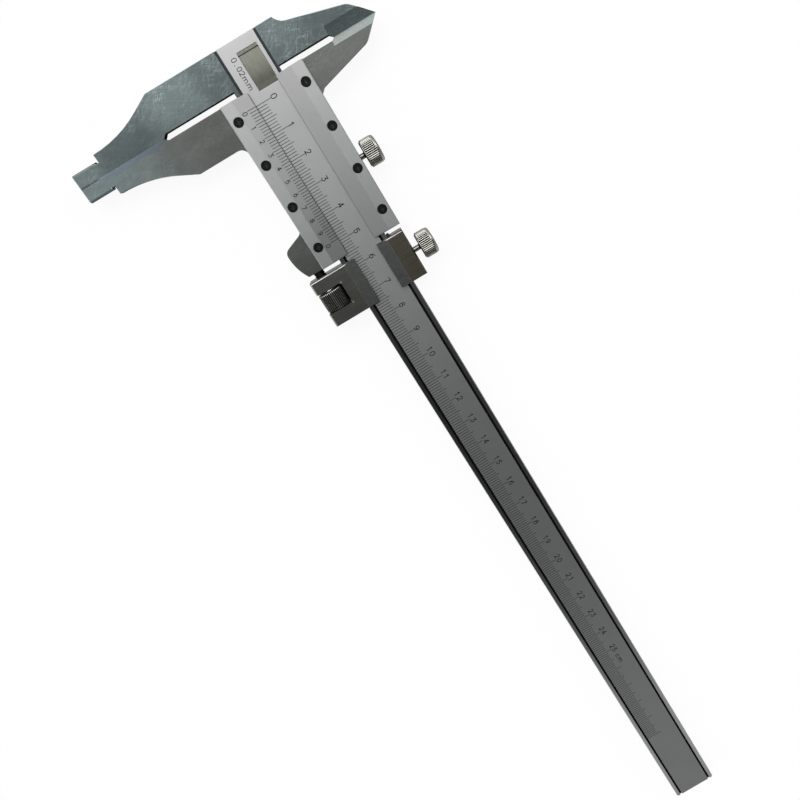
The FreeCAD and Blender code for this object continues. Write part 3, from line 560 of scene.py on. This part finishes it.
sixStrokes = [arc(0, 0.3, 0.29, 0.3, 0, 360, 20), arc(0.25, 0.32, 0.54, 0.66, 95, 180)]
strokes = {
    "0": [arc(0, 0.5, 0.31, 0.5, 0, 360, 25, 0.8)],
    "1": [line((-0.17, 0.80), (0.04, 0.99)), line((0.05, 1.0), (0.05, 0.0))],
    "2": [np.vstack([arc(0, 0.71, 0.28, 0.29, 165, -38), line((-0.28, 0.0))]),
          line((-0.28, 0.0), (0.3, 0.0))],
    "3": [line((-0.25, 1.0), (0.26, 1.0)), line((0.26, 1.0), (-0.02, 0.61)),
          arc(-0.02, 0.305, 0.31, 0.305, 92, -150)],
    "4": [line((0.12, 1.0), (-0.3, 0.28)), line((-0.3, 0.28), (0.31, 0.28)), line((0.12, 1.0), (0.12, 0.0))],
    "5": [line((0.26, 1.0), (-0.2, 1.0)), line((-0.2, 1.0), (-0.25, 0.54)),
          arc(0, 0.32, 0.3, 0.32, 140, -150)],
    "6": sixStrokes,
    "7": [line((-0.29, 1.0), (0.29, 1.0)), line((0.29, 1.0), (-0.08, 0.0))],
    "8": [arc(0, 0.76, 0.24, 0.24, 0, 360, 18), arc(0, 0.26, 0.3, 0.27, 0, 360, 20)],
    "9": [line((0, 1)) - points for points in sixStrokes],
    ".": [line((-0.05, 0.05), (0.05, 0.05))],
    "c": [arc(0, 0.33, 0.3, 0.33, 50, 310, 16)],
    "m": [line((-0.52, 0.0), (-0.52, 0.66)),
          np.vstack([arc(-0.26, 0.42, 0.26, 0.24, 180, 0, 9), line((0.0, 0.0))]),
          np.vstack([arc(0.26, 0.42, 0.26, 0.24, 180, 0, 9), line((0.52, 0.0))])],
}


class Engraving:
    # flat inlays let into a surface: each one a ribbon of rectangular section along a path
    def __init__(self, surface):
        self.surface = surface
        self.points = []
        self.faces = []
        self.count = 0

    def ribbon(self, path, width):
        # each path point gives four corners: half the width to either side, just above and below the surface
        loop = len(path) > 2 and np.allclose(path[0], path[-1])
        if loop:
            path = path[:-1]
            step = np.roll(path, -1, 0) - np.roll(path, 1, 0)
        else:
            step = np.gradient(path, axis=0) if len(path) > 2 else np.repeat(path[1:] - path[:1], 2, 0)
        step = step / np.linalg.norm(step, axis=1)[:, None]
        path = path.copy()
        if not loop:
            path[0] -= step[0] * width / 2
            path[-1] += step[-1] * width / 2
        normal = np.stack([-step[:, 1], step[:, 0]], 1) * width / 2
        left = path + normal
        right = path - normal
        high = engraving["above"]
        low = -engraving["below"]
        rings = np.stack([np.column_stack([xy, self.surface(xy[:, 1]) + lift])
                          for xy, lift in ((left, high), (right, high), (right, low), (left, low))], 1)
        count = len(path)
        here = np.arange(count if loop else count - 1)[:, None]
        after = (here + 1) % count
        quads = [np.hstack([4 * here + k, 4 * after + k, 4 * after + (k + 1) % 4, 4 * here + (k + 1) % 4])
                 for k in range(4)]
        if not loop:
            quads += [np.array([[0, 1, 2, 3]]), 4 * (count - 1) + np.array([[3, 2, 1, 0]])]
        self.points.append(rings.reshape(-1, 3))
        self.faces.append(np.vstack(quads) + self.count)
        self.count += 4 * count

    def text(self, words, x, style, pitch=None):
        # letters centred on x, standing on the baseline of their style
        pitch = pitch or style["pitch"]
        start = x - pitch * (len(words) - 1) / 2
        for index, letter in enumerate(words):
            for stroke in strokes[letter]:
                place = np.array([start + pitch * index, style["baseline"]])
                self.ribbon(stroke * style["height"] + place, style["stroke"])

    def ticks(self, xs, low, highs):
        width = engraving["tickWidth"]
        for x, high in zip(xs, highs):
            self.ribbon(line((x, low + width / 2), (x, high - width / 2)), width)

    def build(self, name, body):
        points = np.vstack(self.points)
        faces = np.vstack(self.faces)
        return newPiece(name, points, faces, ink, body, False)


print("engraving: main scale and vernier")
mainScale = Engraving(lambda y: np.full(len(y), scaleTop))
marks = np.arange(engraving["mainTicks"] + 1)
tenTop, fiveTop, oneTop = engraving["mainTops"]
tops = np.where(marks % 10 == 0, tenTop, np.where(marks % 5 == 0, fiveTop, oneTop))
mainScale.ticks(marks, engraving["mainStart"] - caliper["scaleHalf"], tops)
for number in range(engraving["numbers"] + 1):
    mainScale.text(str(number), 10.0 * number, engraving["main"])
for words, x, style, pitch in engraving["labels"]:
    mainScale.text(words, x, engraving[style], pitch)
mainScale.build("main_scale_engraving", "beam")

plateSlope = (plateHigh[2] - plateLow[2] - caliper["plateLip"]) / (caliper["plateBevel"] + plateHigh[1])


def onPlate(y):
    # height of the sloped front of the vernier plate at a distance from its inner edge
    return np.minimum(plateLow[2] + caliper["plateLip"] + plateSlope * (plateHigh[1] - y), plateHigh[2])


vernier = Engraving(onPlate)
steps = np.arange(engraving["vernierTicks"] + 1) * engraving["vernierPitch"]
tickLow, longLow, longHigh = engraving["vernierLow"]
vernier.ticks(steps, tickLow, np.full(len(steps), plateHigh[1] - 0.05))
vernier.ticks(steps[::5], longLow, np.full(len(steps[::5]), longHigh))
for index, x in enumerate(steps[::5]):
    vernier.text(str(index % 10), x + engraving["vernierShift"], engraving["vernier"])
vernier.build("vernier_engraving", "slider")


# turned and knurled pieces

def turned(name, node, axis, origin, profile, band, knurl, body, slot, around, closed=False):
    # a profile (distance along the axis, radius, painted tone of light and shade) turned about the axis; in
    # the band (from, to, least radius) the knurl lowers the radius and darkens the tone with painted shade
    heights, radii, tones = profile.T
    angle = np.linspace(0, 2 * np.pi, around, endpoint=False)
    h, a = np.meshgrid(heights, angle, indexing="ij")
    r = np.repeat(radii[:, None], around, 1)
    cut = np.where((h > band[0]) & (h < band[1]) & (r > band[2]), knurl(h, a), 0.0)
    r = r - cut
    across = {"x": (1, 2, 0), "y": (2, 0, 1)}[axis]
    points = np.zeros((*h.shape, 3))
    points[..., across[0]] = r * np.cos(a)
    points[..., across[1]] = r * np.sin(a)
    points[..., across[2]] = h
    points = points.reshape(-1, 3) + np.array(origin)
    rows = len(heights)
    index = np.arange(rows * around).reshape(rows, around)
    turnedIndex = np.roll(index, -1, 1)
    if closed:
        low, high = index, np.roll(index, -1, 0)
        lowTurned, highTurned = turnedIndex, np.roll(turnedIndex, -1, 0)
    else:
        low, high = index[:-1], index[1:]
        lowTurned, highTurned = turnedIndex[:-1], turnedIndex[1:]
    faces = np.stack([low, lowTurned, highTurned, high], -1).reshape(-1, 4)
    piece = newPiece(name, points, faces, finishes[slot], body)
    tone = piece.data.attributes.new("tone", "FLOAT", "POINT")
    # painted shade in the knurl: tone falls to 0 at six tenths of the deepest cut
    tone.data.foreach_set("value", (tones[:, None] * np.clip(1 - cut / cut.max() / 0.6, 0, 1)).ravel())
    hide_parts(node)
    return piece


def spacedProfile(corners, step):
    # corners joined by straight runs, each divided evenly no coarser than step
    corners = np.array(corners, float)
    runs = []
    for first, last in zip(corners[:-1], corners[1:]):
        count = max(1, int(np.linalg.norm((last - first)[:2]) / step))
        runs.append(first + (last - first) * np.arange(count)[:, None] / count)
    return np.vstack(runs + [corners[-1:]])


def ridge(phase):
    # 0 on the crest and 1 in the root, straight flanks
    return np.abs((phase % 1.0) * 2 - 1)


knob = {"teeth": 44, "depth": 0.28, "length": 5.7, "inner": 0.45, "rim": 1.25, "crown": 0.3, "neck": 1.0,
        "around": 8}  # points round each tooth


def buildKnob(name, node, body):
    low, high = nodeBox(node)
    radius = (high[0] - low[0]) / 2 - 0.02
    centre = ((high[0] + low[0]) / 2, 0, (high[2] + low[2]) / 2)
    tip, end = low[1], high[1]
    start = end - knob["length"]
    band = start + knob["inner"]
    rim = end - knob["rim"]
    # each corner: distance along the axis, radius, and its painted tone of light and shade
    corners = [
        (tip, 0.001, 0.4), (tip, 0.75, 0.4), (tip + 0.5, 1.25, 0.4),
        (start - 2.7, 1.25, 0.2), (start - 2.6, knob["neck"], 0.2), (start, knob["neck"], 0.2),
        (start, radius - 0.75, 0.15), (start + 0.06, radius - 0.62, 0.15), (start + 0.26, radius - 0.4, 0.2),
        (start + 0.3, radius - 0.35, 0.9), (band, radius - 0.14, 0.9), (band + 0.05, radius, 1.0),
        (rim, radius, 1.0), (rim + 0.12, radius - 0.14, 0.5), (rim + 0.45, radius - 0.2, 0.45),
        (rim + 0.75, radius - 0.38, 0.3), (end - knob["crown"], radius - 0.85, 0.1),
        (end - 0.22, radius - 1.15, 0.1), (end - 0.08, radius - 2.4, 0.4), (end, radius - 4.0, 0.45),
        (end, 0.001, 0.45),
    ]

    def knurl(h, a):
        # straight ribs along the axis with V flanks
        return knob["depth"] * ridge(knob["teeth"] * a / (2 * np.pi))
    return turned(name, node, "y", centre, spacedProfile(corners, 0.4), (band, rim + 0.02, radius - 0.1),
                  knurl, body, "knob_nickel", knob["teeth"] * knob["around"])


print("turned pieces: knobs, nut, adjusting screw")
buildKnob("slider_lock_knob", "slider_lock_screw", "slider_lock_screw")
buildKnob("carriage_lock_knob", "carriage_lock_screw", "carriage_lock_screw")

nut = {"teeth": 43, "depth": 0.26, "bore": 2.02, "chamfer": 0.45, "collar": 0.5, "step": 0.7, "around": 8}


def buildNutPiece():
    low, high = nodeBox("adjusting_nut")
    radius = (high[2] - low[2]) / 2 - 0.01
    c = nut["chamfer"]
    left = low[0] + nut["collar"]
    collar = radius - nut["step"]
    # each corner: distance along the axis, radius, and its painted tone of light and shade
    corners = [
        (low[0], nut["bore"], 0.3), (low[0], collar - 0.15, 0.3), (low[0] + 0.15, collar, 1.0),
        (left, collar, 1.0), (left, radius - c, 0.1), (left + c, radius, 1.0),
        (high[0] - c, radius, 1.0), (high[0], radius - c, 0.8), (high[0], nut["bore"], 0.3),
    ]

    def knurl(h, a):
        return nut["depth"] * ridge(nut["teeth"] * a / (2 * np.pi))
    return turned("adjusting_nut_knurled", "adjusting_nut", "x",
                  (0, (low[1] + high[1]) / 2, (low[2] + high[2]) / 2), spacedProfile(corners, 0.5),
                  (left + 0.02, high[0] - 0.02, radius - c - 0.01), knurl, "nut", "nut_steel",
                  nut["teeth"] * nut["around"], True)


buildNutPiece()

rod = {"pitch": 0.70, "depth": 0.33, "around": 48}


def buildRod():
    low, high = nodeBox("adjusting_screw")
    radius = (high[2] - low[2]) / 2 - 0.005
    corners = [(low[0], 0.001, 1), (low[0], radius, 1), (high[0] - 0.4, radius, 1),
               (high[0], radius - 0.4, 1), (high[0], 0.001, 1)]

    def thread(h, a):
        # one V groove that winds round the rod
        return rod["depth"] * ridge(h / rod["pitch"] - a / (2 * np.pi))
    return turned("adjusting_screw_threaded", "adjusting_screw", "x",
                  (0, (low[1] + high[1]) / 2, (low[2] + high[2]) / 2), spacedProfile(corners, 0.09),
                  (sliderEnd + 0.4, high[0] - 0.3, 1.0), thread, "slider", "black_steel", rod["around"])


buildRod()

# floor, light and camera

print("studio: floor, light, camera")
studio = {"floorSize": 6.0, "floor": 0.92, "shadow": 0.07, "peak": 6.0, "fill": 0.45,
          "centre": -8.0, "narrow": 18.0, "wide": 46.0}  # angles of the extra light in degrees

bpy.ops.mesh.primitive_plane_add(size=studio["floorSize"], location=(0, 0, 0))
floor = bpy.context.object
floor.name = "studio_floor"


def buildFloor(f):
    path = f.add("ShaderNodeLightPath")
    ports = path.socket.node.outputs
    seen = Signal(f, ports["Is Camera Ray"]).most(Signal(f, ports["Is Glossy Ray"]))
    seen = seen.most(Signal(f, ports["Is Transmission Ray"]))
    matte = f.add("ShaderNodeBsdfDiffuse", None, {"Color": (studio["floor"],) * 3 + (1,)})
    glow = f.add("ShaderNodeEmission", None, {"Color": (1, 1, 1, 1), "Strength": 1.0})
    return f.add("ShaderNodeMixShader", None, {0: seen * (1 - studio["shadow"]), 1: matte, 2: glow})


floor.data.materials.append(newMaterial("studio_white", buildFloor))

# a dim room with one soft light beyond the jaws; levels by tilt from straight up towards +X, in degrees
room = [(-90, 1.2), (-78, 1.0), (-62, 0.7), (-50, 1.6), (-40, 2.5), (-30, 2.2), (-24, 1.6), (-15, 0.4),
        (-8, 0.16), (-2, 0.20), (4, 0.13), (15, 0.045), (24, 0.01), (38, 0.02), (44, 0.14), (52, 0.10),
        (65, 0.2), (90, 0.15)]
# more light near the plane of the beam
along = [(-90, 0.0), (-60, 0.2), (-50, 1.4), (-40, 2.7), (-30, 2.5), (-24, 2.0), (-15, 0.45), (-8, 0.08),
         (-2, 0.13), (4, 0.0), (24, 0.0), (32, 0.03), (38, 0.08), (44, 0.38), (52, 0.05), (65, 0.0),
         (90, 0.0)]

world = bpy.data.worlds.new("studio")
bpy.context.scene.world = world
world.use_nodes = True
sky = Finish(world.node_tree)
toX, toY, toZ = sky.axes(sky.add("ShaderNodeTexCoord"))
tilt = toX.combine("ARCTAN2", toX, toZ) / math.pi + 0.5
spread = abs(toY.combine("ARCTAN2", toY, toZ) - math.radians(studio["centre"]))
beside = spread.rise(math.radians(50), math.radians(66))
spread = 1 - spread.rise(math.radians(studio["narrow"]), math.radians(studio["wide"]))
# weak fill from the sides, well away from the light that the front faces mirror
fill = toZ.between(0.14, 0.40, 0.05).most(beside * toZ.rise(0.09, 0.19)) * toX.rise(-0.7, -0.3)
fill = fill * (studio["fill"] / studio["peak"])


def levels(table):
    return [((angle + 90) / 180, (level / studio["peak"],) * 3) for angle, level in table]


base = sky.add("ShaderNodeValToRGB", {"stops": levels(room)}, {0: tilt})
extra = sky.shade(sky.add("ShaderNodeValToRGB", {"stops": levels(along)}, {0: tilt}), spread)
light = sky.add("ShaderNodeVectorMath", {"operation": "ADD"}, {0: base, 1: extra})
light = sky.add("ShaderNodeVectorMath", {"operation": "ADD"}, {0: light, 1: sky.shade((1, 1, 1), fill)})
shine = sky.add("ShaderNodeBackground", None, {"Color": light, "Strength": studio["peak"]})
white = sky.add("ShaderNodeBackground", None, {"Color": (1, 1, 1, 1), "Strength": 1.0})
direct = sky.add("ShaderNodeLightPath")
sky.close("ShaderNodeOutputWorld", sky.add("ShaderNodeMixShader", None, {0: direct, 1: shine, 2: white}))

# place and sensor in millimetres, three unit vectors; focal length and centre in pixels of the frame
lens = {
    "place": (28.304, 14.952, 292.297),
    "right": (0.492428, 0.858926, 0.140576),
    "down": (0.814703, -0.511718, 0.272771),
    "forward": (0.306225, -0.019793, -0.951753),
    "focal": 811.73,
    "centre": (476.50, 385.70),
    "frame": 800,
    "sensor": 36,
}
camera = bpy.data.cameras.new("camera")
camera.sensor_width = lens["sensor"]
camera.lens = lens["sensor"] * lens["focal"] / lens["frame"]
camera.shift_x = (lens["frame"] / 2 - lens["centre"][0]) / lens["frame"]
camera.shift_y = (lens["centre"][1] - lens["frame"] / 2) / lens["frame"]
camera.clip_start = 0.01
viewer = bpy.data.objects.new("camera", camera)
bpy.context.scene.collection.objects.link(viewer)
right, down, forward = (Vector(lens[key]) for key in ("right", "down", "forward"))
turn = Matrix((right, -down, -forward)).transposed().to_4x4()
viewer.matrix_world = Matrix.Translation(Vector(lens["place"]) * mm) @ turn
bpy.context.scene.camera = viewer
bpy.context.scene.view_settings.view_transform = "Standard"

print("done")
